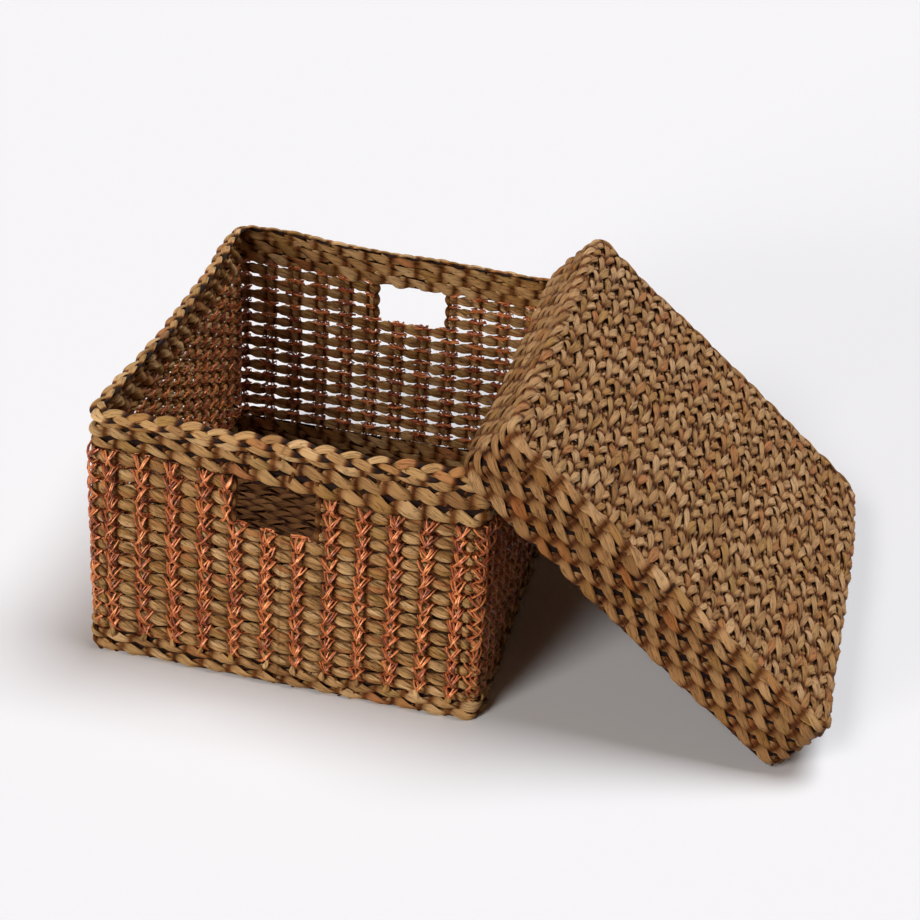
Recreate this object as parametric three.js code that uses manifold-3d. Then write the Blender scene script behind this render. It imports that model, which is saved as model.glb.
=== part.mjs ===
// A hand-woven storage box with its lid taken off and leaning on one side of it.
// Millimetres, +Z up. The origin is the middle of the box's underside, on the floor.
// X runs left to right, and Y runs front to back. The hand holes are in the front and back walls.
import * as THREE from 'three';
import { mergeVertices } from 'three/addons/utils/BufferGeometryUtils.js';
import Module from 'manifold-3d';

const wasm = await Module();
wasm.setup();

// Box, outside sizes at the rim
const rim_width = 360;
const rim_depth = 415;
const box_height = 238;
const foot_flare = 5; // how much further out the foot stands than the rim, on each side
const corner_radius = 12; // of the middle of the wall, seen from above

// Courses: one turn of cord round the box each, from the foot up
const foot_courses = 2;
const lashed_courses = 13;
const rim_courses = 2;
const foot_cord_width = 13;
const lashed_cord_width = 9.5;
const rim_cord_width = 12;
const cord_rounding = 2.4; // bevel along the edges of each cord
const plait_width = 15;
const plait_height = 16;
const seat_gap = 0.3; // between cords that lie on each other

// Base
const base_thickness = 9;
const base_rounding = 1.5;

// Hand holes
const hand_hole_width = 76;
const hand_hole_courses = 3; // the top lashed courses, which stop at each side of the hole

// Lashings: thread that goes round the lashed courses in upright columns
const thread_thickness = 1.8;
const lashing_width = 9;
const corner_lashing_width = 5;
const thread_gap = 0.4; // from the cords' faces
const corner_thread_gap = 0.8;
const carried_thread_width = 3; // the run of thread from one column to the next
const front_lashings = 12;
const side_lashings = 14;

// Lid
const lid_clearance = 3; // all round the rim, when the lid is on
const lid_wall = 8.5;
const lid_depth = 65;
const lid_top_thickness = 9;
const lid_top_rounding = 3;
const lid_corner_radius = 22;
const lid_courses = 5;
const lid_cord_rounding = 2.2;
const lean_overhang = 24; // how far the raised edge reaches in past the box's right-hand face

const arc_steps = 2; // each is two straight steps in a rounded corner

// Finishes
const straw_cord = { color: 0xb79c6c, roughness: 0.85, metalness: 0 };
const lid_cord = { color: 0xa8814e, roughness: 0.85, metalness: 0 };
const lid_weave = { color: 0xa58763, roughness: 0.9, metalness: 0 };
const copper_thread = { color: 0xb8623a, roughness: 0.6, metalness: 0 };

// Sizes that follow from the ones above
const course_count = foot_courses + lashed_courses + rim_courses;
const course_pitch = (box_height - plait_height) / course_count;
const thread_slot = thread_thickness + 2 * seat_gap; // under the first lashed course
const half_slit = thread_slot - seat_gap / 2; // between lashed courses
const middle_x = (rim_width - plait_width) / 2; // middle of the side walls at the rim
const middle_y = (rim_depth - plait_width) / 2;
const first_lashed = foot_courses;
const first_rim = foot_courses + lashed_courses;
const first_cut = first_rim - hand_hole_courses;
const lid_width = rim_width + 2 * (lid_clearance + lid_wall);
const lid_length = rim_depth + 2 * (lid_clearance + lid_wall);

const box = new THREE.Group();
const lid = new THREE.Group();
const model = new THREE.Group();
model.add(box, lid);

// How far the wall stands out at a height, beyond its place at the rim
function flareAt(height) {
  return foot_flare * (1 - height / box_height);
}

function closed(geometry) {
  const bare = geometry.clone();
  bare.deleteAttribute('normal');
  bare.deleteAttribute('uv');
  return mergeVertices(bare);
}

function solidOf(geometry) {
  const whole = closed(geometry);
  const vertProperties = new Float32Array(whole.attributes.position.array);
  const triVerts = new Uint32Array(whole.index.array);
  return new wasm.Manifold(new wasm.Mesh({ numProp: 3, vertProperties, triVerts }));
}

function geometryOf(solid) {
  const mesh = solid.getMesh();
  const geometry = new THREE.BufferGeometry();
  geometry.setAttribute('position', new THREE.BufferAttribute(mesh.vertProperties, mesh.numProp));
  geometry.setIndex(new THREE.BufferAttribute(mesh.triVerts, 1));
  geometry.computeVertexNormals();
  return geometry;
}

function addPiece(group, name, geometry, finish) {
  const mesh = new THREE.Mesh(geometry, new THREE.MeshStandardMaterial(finish));
  mesh.name = name;
  group.add(mesh);
}

// A rectangle with round corners, anticlockwise from its right side
function roundedOutline(path, half_x, half_y, radius) {
  path.absarc(half_x - radius, half_y - radius, radius, 0, Math.PI / 2);
  path.absarc(radius - half_x, half_y - radius, radius, Math.PI / 2, Math.PI);
  path.absarc(radius - half_x, radius - half_y, radius, Math.PI, Math.PI * 1.5);
  path.absarc(half_x - radius, radius - half_y, radius, Math.PI * 1.5, Math.PI * 2);
  path.closePath();
}

// An outline raised from one height to another, with its edges bevelled
function raised(shape, bottom, top, rounding) {
  const geometry = new THREE.ExtrudeGeometry(shape, {
    depth: top - bottom - 2 * rounding,
    bevelEnabled: true,
    bevelThickness: rounding,
    bevelSize: rounding,
    bevelOffset: -rounding,
    bevelSegments: 1,
    curveSegments: arc_steps,
  });
  geometry.translate(0, 0, bottom + rounding);
  return closed(geometry);
}

// One whole turn of cord, by the middle of the wall that it is part of
function cordRing(half_x, half_y, radius, width, bottom, top, rounding) {
  const shape = new THREE.Shape();
  roundedOutline(shape, half_x + width / 2, half_y + width / 2, radius + width / 2);
  const inside = new THREE.Path();
  roundedOutline(inside, half_x - width / 2, half_y - width / 2, radius - width / 2);
  shape.holes.push(inside);
  return raised(shape, bottom, top, rounding);
}

// The half turn of cord on one side of the hand holes: side is 1 for right and -1 for left
function halfTurn(half_x, half_y, radius, width, bottom, top, side) {
  const end = hand_hole_width / 2;
  const shape = new THREE.Shape();
  const outer = { x: half_x + width / 2, y: half_y + width / 2, r: radius + width / 2 };
  const inner = { x: half_x - width / 2, y: half_y - width / 2, r: radius - width / 2 };
  shape.moveTo(end, -outer.y);
  shape.absarc(outer.x - outer.r, outer.r - outer.y, outer.r, -Math.PI / 2, 0);
  shape.absarc(outer.x - outer.r, outer.y - outer.r, outer.r, 0, Math.PI / 2);
  shape.lineTo(end, outer.y);
  shape.lineTo(end, inner.y);
  shape.absarc(inner.x - inner.r, inner.y - inner.r, inner.r, Math.PI / 2, 0, true);
  shape.absarc(inner.x - inner.r, inner.r - inner.y, inner.r, 0, -Math.PI / 2, true);
  shape.lineTo(end, -inner.y);
  shape.closePath();
  const geometry = raised(shape, bottom, top, cord_rounding);
  if (side < 0) geometry.rotateZ(Math.PI);
  return geometry;
}

// Lowest and highest point of a course, counted from 0 at the foot
function courseSpan(index) {
  const lashed = index >= first_lashed && index < first_rim;
  const inset = lashed ? half_slit : seat_gap / 2;
  const bottom = index === 0 ? 0 : index * course_pitch + inset;
  return { bottom, top: (index + 1) * course_pitch - inset };
}

function courseWidth(index) {
  if (index < first_lashed) return foot_cord_width;
  return index < first_rim ? lashed_cord_width : rim_cord_width;
}

function courseName(index) {
  const number = String(index + 1).padStart(2, '0');
  if (index < first_lashed) return `foot_course_${number}`;
  return index < first_rim ? `wall_course_${number}` : `rim_course_${number}`;
}

function addCourses() {
  for (let index = 0; index < course_count; index += 1) {
    const { bottom, top } = courseSpan(index);
    const flare = flareAt((bottom + top) / 2);
    const turn = [middle_x + flare, middle_y + flare, corner_radius, courseWidth(index), bottom, top];
    const name = courseName(index);
    if (index >= first_cut && index < first_rim) {
      addPiece(box, `${name}_right`, halfTurn(...turn, 1), straw_cord);
      addPiece(box, `${name}_left`, halfTurn(...turn, -1), straw_cord);
    } else {
      addPiece(box, name, cordRing(...turn, cord_rounding), straw_cord);
    }
  }
}

function addRimPlait() {
  const bottom = course_count * course_pitch + seat_gap / 2;
  const flare = flareAt(box_height);
  const half = [middle_x + flare, middle_y + flare];
  const plait = cordRing(...half, corner_radius, plait_width, bottom, box_height, cord_rounding);
  addPiece(box, 'rim_plait', plait, straw_cord);
}

// The woven floor of the box lies inside the lowest course
function addBase() {
  const { bottom, top } = courseSpan(0);
  const inset = foot_cord_width / 2 + seat_gap;
  const flare = flareAt((bottom + top) / 2);
  const shape = new THREE.Shape();
  roundedOutline(shape, middle_x + flare - inset, middle_y + flare - inset, corner_radius - inset);
  addPiece(box, 'base_mat', raised(shape, bottom, base_thickness, base_rounding), straw_cord);
}

// One column of thread: a flat loop that goes round the courses between two heights.
// In its outline X is outwards and Y is up, and the loop is as wide as the lashing.
function threadLoop(low, high, inner_reach, outer_reach, width, spread) {
  const out = (height, reach) => spread * flareAt(height) + reach;
  const around = new THREE.Shape();
  around.moveTo(out(low, -inner_reach - thread_thickness), low);
  around.lineTo(out(low, outer_reach + thread_thickness), low);
  around.lineTo(out(high, outer_reach + thread_thickness), high);
  around.lineTo(out(high, -inner_reach - thread_thickness), high);
  around.closePath();
  const within = new THREE.Path();
  const floor = low + thread_thickness;
  const ceiling = high - thread_thickness;
  within.moveTo(out(floor, -inner_reach), floor);
  within.lineTo(out(floor, outer_reach), floor);
  within.lineTo(out(ceiling, outer_reach), ceiling);
  within.lineTo(out(ceiling, -inner_reach), ceiling);
  within.closePath();
  around.holes.push(within);
  const loop = new THREE.ExtrudeGeometry(around, { depth: width, bevelEnabled: false });
  loop.translate(0, 0, -width / 2);
  return loop;
}

// Turns an outline's X outwards from the wall and its Y upwards
function facing(outward, place) {
  const up = new THREE.Vector3(0, 0, 1);
  const along = new THREE.Vector3().crossVectors(outward, up);
  return new THREE.Matrix4().makeBasis(outward, up, along).setPosition(place);
}

// All the lashings of one wall, joined by the thread that is carried between them. The outer columns
// stand where the wall starts to bend round its corners.
function wallLashing(outward, middle, half_length, count, has_hole) {
  const last = half_length - corner_radius - lashing_width / 2;
  const pitch = (2 * last) / (count - 1);
  const reach = lashed_cord_width / 2 + thread_gap;
  const low = courseSpan(first_lashed - 1).top + seat_gap;
  const high = courseSpan(first_rim).bottom - seat_gap;
  const high_under_hole = courseSpan(first_cut - 1).top + seat_gap + thread_thickness;
  const hole_reach = hand_hole_width / 2 + lashing_width / 2;
  const along = new THREE.Vector3().crossVectors(outward, new THREE.Vector3(0, 0, 1));
  const wall = outward.clone().multiplyScalar(middle);

  const run = new THREE.BoxGeometry(carried_thread_width, thread_thickness, 2 * last);
  run.translate(flareAt(low), low + thread_thickness / 2, 0);
  run.applyMatrix4(facing(outward, wall));
  let lashing = solidOf(run);
  for (let column = 0; column < count; column += 1) {
    const place = column * pitch - last;
    const cut = has_hole && Math.abs(place) < hole_reach;
    const loop = threadLoop(low, cut ? high_under_hole : high, reach, reach, lashing_width, 1);
    loop.applyMatrix4(facing(outward, wall.clone().addScaledVector(along, place)));
    lashing = lashing.add(solidOf(loop));
  }
  return geometryOf(lashing);
}

// The lashing on one rounded corner, which looks out along the corner's diagonal
function cornerLashing(side_x, side_y) {
  const low = courseSpan(first_lashed - 1).top + seat_gap;
  const high = courseSpan(first_rim).bottom - seat_gap;
  const half_cord = lashed_cord_width / 2;
  const inner = half_cord + corner_thread_gap;
  const outer = half_cord + thread_gap;
  const loop = threadLoop(low, high, inner, outer, corner_lashing_width, Math.SQRT2);
  loop.translate(corner_radius, 0, 0);
  const outward = new THREE.Vector3(side_x, side_y, 0).normalize();
  const centre_x = side_x * (middle_x - corner_radius);
  const centre_y = side_y * (middle_y - corner_radius);
  loop.applyMatrix4(facing(outward, new THREE.Vector3(centre_x, centre_y, 0)));
  return closed(loop);
}

function addLashings() {
  const walls = [
    ['front', 0, -1, middle_y, middle_x, front_lashings, true],
    ['back', 0, 1, middle_y, middle_x, front_lashings, true],
    ['left', -1, 0, middle_x, middle_y, side_lashings, false],
    ['right', 1, 0, middle_x, middle_y, side_lashings, false],
  ];
  for (const [side, x, y, ...layout] of walls) {
    const thread = wallLashing(new THREE.Vector3(x, y, 0), ...layout);
    addPiece(box, `lashing_${side}`, thread, copper_thread);
  }
  const corners = [
    ['front_left', -1, -1],
    ['front_right', 1, -1],
    ['back_left', -1, 1],
    ['back_right', 1, 1],
  ];
  for (const [corner, x, y] of corners) {
    addPiece(box, `corner_lashing_${corner}`, cornerLashing(x, y), copper_thread);
  }
}

// The lid is made level, with the middle of its top face at the group's origin
function addLidPieces() {
  const top = new THREE.Shape();
  roundedOutline(top, lid_width / 2, lid_length / 2, lid_corner_radius);
  addPiece(lid, 'lid_top_mat', raised(top, -lid_top_thickness, 0, lid_top_rounding), lid_weave);

  const half = [(lid_width - lid_wall) / 2, (lid_length - lid_wall) / 2];
  const radius = lid_corner_radius - lid_wall / 2;
  const pitch = (lid_depth - lid_top_thickness) / lid_courses;
  for (let index = 0; index < lid_courses; index += 1) {
    const ceiling = -lid_top_thickness - index * pitch - seat_gap;
    const floor = -lid_top_thickness - (index + 1) * pitch;
    const ring = cordRing(...half, radius, lid_wall, floor, ceiling, lid_cord_rounding);
    addPiece(lid, `lid_course_${String(index + 1).padStart(2, '0')}`, ring, lid_cord);
  }
}

// The lean at which an edge point of the lid, this far from its foot and this far above its lower
// face, lies just clear of the top of the rim
function leanOver(run, above) {
  const rise = box_height + seat_gap;
  return Math.asin(rise / Math.hypot(run, above)) - Math.atan2(above, run);
}

// The lid stands on the lower edge of its right side, on the floor, and the rounded inner corners of
// its left side rest on the flat tops of the front and back rims, near their right-hand ends.
// The straight steps of a corner lie a little inside its true round.
function leanLid() {
  const foot_x = lid_width / 2 - lid_cord_rounding;
  const corner_x = lid_width / 2 - lid_corner_radius;
  const corner_y = lid_length / 2 - lid_corner_radius;
  const rim_reach = rim_depth / 2 - cord_rounding - corner_y;
  const step_share = Math.cos(Math.PI / (8 * arc_steps));
  const inner_radius = (lid_corner_radius - lid_wall) * step_share;
  const lower_radius = (lid_corner_radius - lid_wall + lid_cord_rounding) * step_share;
  const inner_run = foot_x + corner_x + Math.sqrt(inner_radius ** 2 - rim_reach ** 2);
  const lower_run = foot_x + corner_x + Math.sqrt(lower_radius ** 2 - rim_reach ** 2);
  const lean = Math.max(leanOver(inner_run, lid_cord_rounding), leanOver(lower_run, 0));

  const sin = Math.sin(lean);
  const cos = Math.cos(lean);
  const raised_edge = rim_width / 2 - lean_overhang;
  lid.position.x = raised_edge + cos * (lid_width / 2 - lid_wall) + sin * lid_depth;
  lid.position.z = sin * foot_x + cos * lid_depth;
  lid.rotation.y = lean;
}

addBase();
addCourses();
addRimPlait();
addLashings();
addLidPieces();
leanLid();

export default model;
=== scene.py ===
"""A woven storage box of twisted rush, lashed with copper-coloured thread, and its lid of the same rush,
which leans on the box. Lengths are in metres and +Z is up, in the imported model's frame."""
import math

import bpy
import numpy as np
from mathutils import Matrix, Vector


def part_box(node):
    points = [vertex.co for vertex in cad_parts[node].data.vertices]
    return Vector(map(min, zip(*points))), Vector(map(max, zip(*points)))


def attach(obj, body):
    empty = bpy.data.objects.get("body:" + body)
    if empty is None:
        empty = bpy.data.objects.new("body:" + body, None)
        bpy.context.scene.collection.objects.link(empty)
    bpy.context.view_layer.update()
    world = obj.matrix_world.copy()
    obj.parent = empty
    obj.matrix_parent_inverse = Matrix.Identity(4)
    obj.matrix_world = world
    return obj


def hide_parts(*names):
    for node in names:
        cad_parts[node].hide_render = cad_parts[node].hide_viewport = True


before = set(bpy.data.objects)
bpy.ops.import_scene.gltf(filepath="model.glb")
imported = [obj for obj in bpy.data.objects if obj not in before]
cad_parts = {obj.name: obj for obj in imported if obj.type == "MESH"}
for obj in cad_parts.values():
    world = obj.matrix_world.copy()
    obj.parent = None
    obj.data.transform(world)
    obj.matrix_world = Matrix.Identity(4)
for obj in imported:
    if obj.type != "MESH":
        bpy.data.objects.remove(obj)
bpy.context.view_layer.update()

MM = 0.001
UP = np.array([0.0, 0.0, 1.0])
CHANCE = np.random.default_rng(41)

# The courses of the frame, from the bottom up
FOOT_NODES = ["foot_course_01", "foot_course_02"]
WALL_NODES = [f"wall_course_{k:02d}" for k in range(3, 13)]
SPLIT_NODES = [f"wall_course_{k:02d}" for k in range(13, 16)]
RIM_NODES = ["rim_course_16", "rim_course_17"]
LID_NODES = [f"lid_course_{k:02d}" for k in range(1, 6)]

# How thick a course is through the wall, and the radius of its corners at its outer face
BAND_DEPTH = 11.5 * MM
WALL_DEPTH = 9.5 * MM
PLAIT_DEPTH = 13 * MM
LID_DEPTH = 8.5 * MM
CORNER_RADIUS = 14 * MM
PLAIT_CORNER_RADIUS = 22 * MM
LID_CORNER_RADIUS = 22 * MM

# How finely the strands are made: the step along a row, the points round a corner, and the sides of each
# kind of strand. Edges sharper than SHARP_EDGE stay sharp.
STEP = 2.6 * MM
CORNER_POINTS = 15
ROW_SIDES = 8
LEAF_SIDES = 6
CORE_SIDES = 6
CORE_STRIDE = 3
CROSS_CORD_SIDES = 4
THREAD_SIDES = 5
SHARP_EDGE = math.radians(42)
# At 1 the section of a strand is an oval, and below 1 it is fuller
SECTION_FULLNESS = 0.8
# The length from which each strand takes its own stretch of fibres, so that no two look the same
GRAIN_SPREAD = 40.0

# The tape that the bake lays out: how much of it an end takes, in radii, how high that is drawn, and the
# gap between two rows
CAP_LENGTH = 2.2
CAP_HALF_HEIGHT = 0.45
ROW_GAP = 0.04


class Lay:
    """How the strands of a row lie, in millimetres. A float is the length for which a strand lies outermost;
    rise and swell are how far it swings across the row and out of the surface. The strand is widest in the
    middle of a float; waist is its width where it dives, and inner its width on the inner side. Lean is how
    far, in degrees, a flat strand tips where it dives; without it, the strand turns right over."""

    def __init__(self, float_length, rise, swell, half_width, half_thickness, waist, inner=1.0, lean=None):
        self.float_length = float_length * MM
        self.rise = rise * MM
        self.swell = swell * MM
        self.half_width = half_width * MM
        self.half_thickness = half_thickness * MM
        self.waist = waist
        self.inner = inner
        self.lean = None if lean is None else math.radians(lean)


BAND_LAY = Lay(25, 3.0, 2.1, 6.0, 2.0, waist=0.74, lean=34)
EDGE_LAY = Lay(26, 2.5, 2.1, 5.1, 1.9, waist=0.74, lean=34)
WALL_LAY = Lay(14.2, 1.2, 1.9, 2.7, 1.8, waist=0.55, inner=0.9)
SKIRT_LAY = Lay(26, 3.2, 2.1, 5.2, 2.0, waist=0.72, lean=36)
SHOULDER_LAY = Lay(26, 2.6, 1.8, 4.2, 1.8, waist=0.72, lean=36)
TOP_LAY = Lay(27, 2.2, 2.2, 3.9, 1.5, waist=0.4, lean=38)
BASE_LAY = Lay(26, 2.2, 1.9, 4.5, 1.6, waist=0.5, inner=0.9, lean=36)

# How uneven the leaves are. From one float to the next, a leaf differs by up to this much in its place
# across the row, its swell, its tip (alone, or beside another leaf), its width and its thickness. Corners
# are how far its edges are pushed in and out, and phase is how far, in floats, the dives of a row stray.
UNEVEN_LIFT = 0.5 * MM
UNEVEN_SWELL = 0.2
UNEVEN_TIP = 0.22
UNEVEN_TIP_BESIDE = 0.37
UNEVEN_WIDTH = 0.16
UNEVEN_THICKNESS = 0.15
UNEVEN_CORNERS = (0.8, 1.14)
UNEVEN_PHASE = 0.15
# The share of a float on each side of a dive in which these change over
CHANGE_OVER = 0.1
# Below 1, a leaf is wide, or clear of its painted shade, soon after it comes up from a dive, and above 1 late
WIDENING = 1.3
SURFACING = 0.4
# How close the leaves of one ply draw together in a dive, and the square of a tapered end's least width
LEAVES_TOGETHER = 0.6
TAPER_LEAST = 0.05

# The slow drift of handwork: waves in radians per metre along x, y and z, and where each begins
WANDER_WAVES = [(21, 17, 9, 0.3), (-34, 41, 23, 1.7), (63, -52, 71, 4.0), (97, 88, -120, 2.2)]
# How far the drift moves a row in and out, and what share of that up and down
ROW_DRIFT = 0.9 * MM
DRIFT_UP = 0.7

# Heights of five levels of the box as the frame has them, and where the handmade box has them at the left,
# middle and right of its front and of its back
LEVELS = np.array([0, 32, 157, 197, 240]) * MM
FRONT_LEVELS = np.array([[0, 27, 161, 207, 241], [0, 23, 150, 195, 241], [0, 22, 151, 189, 240]]) * MM
BACK_LEVELS = np.array([[0, 31, 164, 210, 253], [0, 32, 164, 206, 244], [0, 32, 163, 203, 240]]) * MM
LEVEL_STATIONS = np.array([-120, 0, 120]) * MM

# How the walls of the handmade box stand: the left one bows in at its rim, the front one leans out at its
# foot, more so towards the right, and the front and back ones are a little bellied. Near a wall, at these
# distances from the middle of the box, the forms are full.
BOX_HALF_LENGTH = 207.5 * MM
LEFT_BOW_IN = 7 * MM
LEFT_SET_OUT = 1 * MM
FRONT_LEAN = 4 * MM
FRONT_LEAN_RIGHT = 7 * MM
LEAN_GROWS_FROM = -120 * MM
LEAN_GROWS_OVER = 160 * MM
FRONT_BELLY = 3 * MM
BACK_BELLY = 5 * MM
NEAR_SIDE_WALL = 150 * MM
NEAR_END_WALL = 190 * MM

# Behind the leaves of a plain course: a flat core, whose half width is this share of the course's height,
# and fine uprights that show between the leaves. Their slant and half width are in millimetres.
CORE_SHARE = 0.53
CORE_HALF_THICKNESS = 0.4 * MM
CORE_TINT = 0.2
UPRIGHT_POINTS = 4
UPRIGHT_STRAY = 0.4
UPRIGHT_SLANT = 4
UPRIGHT_REACH = 0.9 * MM
UPRIGHT_HALF_WIDTHS = (1.2, 2.2)
FINE_CORD_FLATNESS = 0.6

# How far out of the weave the strands behind the leaves lie, where -1 is hidden and 1 is outermost, which
# sets how much painted shade they get
CORE_SHOWN = -1.0
UPRIGHT_SHOWN = -0.2
CROSS_CORD_SHOWN = -0.6

# The stitches that bind the foot to the wall: how far apart they are, how long, how they bend and narrow
# towards their ends, and how wide they are. Slant and half width are in millimetres.
STITCH_PITCH = 28.4 * MM
STITCH_STRAY = 0.12
STITCH_SLANT = 3
STITCH_POINTS = 6
STITCH_HEIGHT = 13 * MM
STITCH_BULGE = 3.2 * MM
STITCH_REACH = 1.6 * MM
STITCH_BEND = 0.9
STITCH_NARROWING = 0.8
STITCH_HALF_WIDTH = 2.3
STITCH_MORE_WIDTH = 1.0
STITCH_HALF_THICKNESS = 1.4 * MM
STITCH_CORNERS = (0.8, 1.15)

# The leaf that turns back round the end of a run, beside a hand hole: how it bends, and how it narrows and
# darkens with painted shade towards its tips, where it tucks in. Its half widths, at a tip and added at its
# middle, are in millimetres.
RUN_END_POINTS = 7
RUN_END_HALF_HEIGHT = 6.6 * MM
RUN_END_BULGE = 2.2 * MM
RUN_END_INSET = 1.6 * MM
RUN_END_BEND = 2.4
RUN_END_TIP_WIDTH = 1.8
RUN_END_MORE_WIDTH = 1.6
RUN_END_NARROWING = 2.2
RUN_END_HALF_THICKNESS = 3.0 * MM
RUN_END_CORNERS = (0.8, 1.2)
RUN_END_PALEST = 0.4
RUN_END_SHOWN = 0.5
RUN_END_TUCK = 0.2
RUN_END_DARKENING = 2.6
RUN_TAPER = 3 * MM

# The hand holes stand off the middle of their walls, and each ply of the wall's cord is two leaves
HOLE_SHIFT = -7.5 * MM
WALL_LEAVES = (-2.0 * MM, 2.0 * MM)

# The plait: the course under it, measured from the foot of the plait's node; where its middle lies and
# how far it is tipped outwards; the length in which a strand comes round again; and its three strands
EDGE_COURSE_LOW = -1 * MM
EDGE_COURSE_HIGH = 10.5 * MM
PLAIT_UNDER_TOP = 4.6 * MM
PLAIT_TIP = math.radians(62)
PLAIT_PERIOD = 70 * MM
PLAIT_SWING = 4.7 * MM
PLAIT_SWELL = 1.7
PLAIT_HALF_WIDTH = 4.3 * MM
PLAIT_HALF_THICKNESS = 1.6 * MM
PLAIT_WAIST = 0.5
UNEVEN_PLAIT_SWING = 0.8 * MM
UNEVEN_PLAIT_SWELL = 0.4
UNEVEN_PLAIT_SIZE = 0.2
PLAIT_CORNERS = (0.78, 1.16)

# The base mat: how far its rows run under the foot, how far apart they lie, and the cords that cross them
# in threes
UNDER_FOOT = Vector((5 * MM, 4.5 * MM, 0.0))
BASE_PITCH = 8.5 * MM
BASE_STEP = 3.2 * MM
BASE_DRIFT = 0.7 * MM
BASE_CORD_PLACES = (-2.8 * MM, 0.0, 2.8 * MM)
BASE_CORD_POINTS = 8
BASE_CORD_HALF_WIDTH = 1.5 * MM
BASE_CORD_SINK = 0.5 * MM
BASE_CORD_TINT = 0.5

# The copper columns: how many stand on each kind of wall, and how wide one is. The strands of the wall's
# cord cross over this far beside the middle of a column.
END_COLUMNS = 12
SIDE_COLUMNS = 14
BACK_COLUMN_SHIFT = -7 * MM
BACK_COLUMN_SPREAD = 0.97
LASHING_HALF_WIDTH = 5.4 * MM
CROSSING_BESIDE = 4.4 * MM

# The thread of a column: how many threads, and how far out from the middle of the wall they lie over a
# course, at a corner of the box, on the inner side, and in a slit
THREADS = 6
THREAD_RADIUS = 0.8 * MM
THREAD_SIZES = (0.85, 1.2)
FRONT_REACH = 4.9 * MM
CORNER_REACH = 3.9 * MM
INNER_REACH = -4.9 * MM
SLIT_REACH = 1.8 * MM
# One turn of thread has eight points: how far up the course each is, and how far, in millimetres, it may
# stray. It lies a little lower beside its outermost point on each side of the wall.
TURN_RISE = np.array([0, 0.24, 0.5, 0.76, 1.0, 1.0, 1.0, 1.0])
TURN_STRAY = np.array([0.7, 0.5, 0.5, 0.5, 0.7, 2.3, 2.3, 2.3])
OUTER_SHOULDER = 0.86
INNER_SHOULDER = 0.7
# How far a turn goes sideways, in half widths of its column; how much of that it keeps in the slit; how far
# it bends and stands out, in millimetres; and how far to the two sides it runs on the inner side
TURN_SIDEWAYS = (0.25, 1.5)
TURN_KEPT = 0.55
TURN_BEND = 0.9
TURN_PROUD = (-0.3, 0.7)
RUN_WIDE = 1.3
RUN_NARROW = 0.3
POINTS_OF_ONE_TINT = 4
# Keeps a thread's section from twisting where it runs straight in or out
OFF_LINE = np.array([0.001, 0.002, 0.003])

# Round a hand hole: the thread under it stops short of the sill, the thread beside it keeps clear of the
# hole from a little above the sill, and one more column stands at the left of the front hole
SILL_DROP = 1.5 * MM
HOLE_CLEARANCE = 1 * MM
ABOVE_SILL = 3 * MM
HOLE_COLUMN_GAP = 5 * MM

# The lid's top: how far apart its rows lie, the border outside them, how deep their middle lies, and how
# it rounds over towards the edge
LID_TOP_PITCH = 7.85 * MM
LID_BORDER = 7 * MM
LID_ROWS_UNDER_TOP = 4.3 * MM
ROUND_OVER_DROP = 2.6 * MM
ROUND_OVER_WIDTH = 14 * MM
TOP_DRIFT = 0.8 * MM
TOP_DRIFT_UP = 0.5 * MM
TOP_TAPER = 5 * MM
# How far the dives of a row stray along it, in floats, and in waves of how many radians per metre
TOP_STRAY = 0.3
TOP_STRAY_WAVES = (38, 62)

# The cords that cross under the lid's rows in fives, and the row that goes all round the top's edge
LID_CORD_PITCH = 2.5 * MM
LID_CORD_STEP = 14 * MM
LID_CORD_SINK = 1.0 * MM
LID_CORD_HALF_WIDTH = 1.35 * MM
LID_CORD_HALF_THICKNESS = 0.8 * MM
SHOULDER_INSET = 5.4 * MM
SHOULDER_TILT = math.radians(46)

# The lid's far end has sunk, from this far behind its middle
LID_SINK = 4.5 * MM
LID_SINK_FROM = 60 * MM
LID_SINK_OVER = 160 * MM


def wander(points, size):
    """A slow, uneven drift, the same for everything near one place, as handwork has."""
    drift = np.zeros(len(points))
    for wave, (kx, ky, kz, turn) in enumerate(WANDER_WAVES):
        drift += np.sin(points @ np.array([kx, ky, kz]) + turn) / (1 + wave)
    return size * drift


def settle(points):
    """Gives the box its handmade shape: rows that rise and fall, and walls that lean, bow and belly."""
    x, y, z = points.T
    back = np.clip((y + BOX_HALF_LENGTH) / (2 * BOX_HALF_LENGTH), 0, 1)
    heights = []
    for level in range(len(LEVELS)):
        front_height = np.interp(x, LEVEL_STATIONS, FRONT_LEVELS[:, level])
        back_height = np.interp(x, LEVEL_STATIONS, BACK_LEVELS[:, level])
        heights.append(front_height * (1 - back) + back_height * back)
    heights = np.array(heights)
    step = np.clip(np.searchsorted(LEVELS, z) - 1, 0, len(LEVELS) - 2)
    column = np.arange(len(z))
    share = (z - LEVELS[step]) / (LEVELS[step + 1] - LEVELS[step])
    height = heights[step, column] * (1 - share) + heights[step + 1, column] * share
    climb = np.clip(z / LEVELS[-1], 0, 1)
    belly = np.sin(climb * math.pi)
    midway = np.cos(np.clip(y / BOX_HALF_LENGTH, -1, 1) * math.pi / 2)
    rightward = np.clip((x - LEAN_GROWS_FROM) / LEAN_GROWS_OVER, 0, 1)
    lean = (FRONT_LEAN + FRONT_LEAN_RIGHT * rightward) * (1 - climb)
    left_in = (LEFT_BOW_IN * midway * climb - LEFT_SET_OUT) * np.clip(-x / NEAR_SIDE_WALL, 0, 1)
    front_out = (lean + FRONT_BELLY * belly) * np.clip(-y / NEAR_END_WALL, 0, 1)
    back_out = BACK_BELLY * belly * np.clip(y / NEAR_END_WALL, 0, 1)
    return np.stack([x + left_in, y - front_out + back_out, np.maximum(height, 0)], axis=1)


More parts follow.
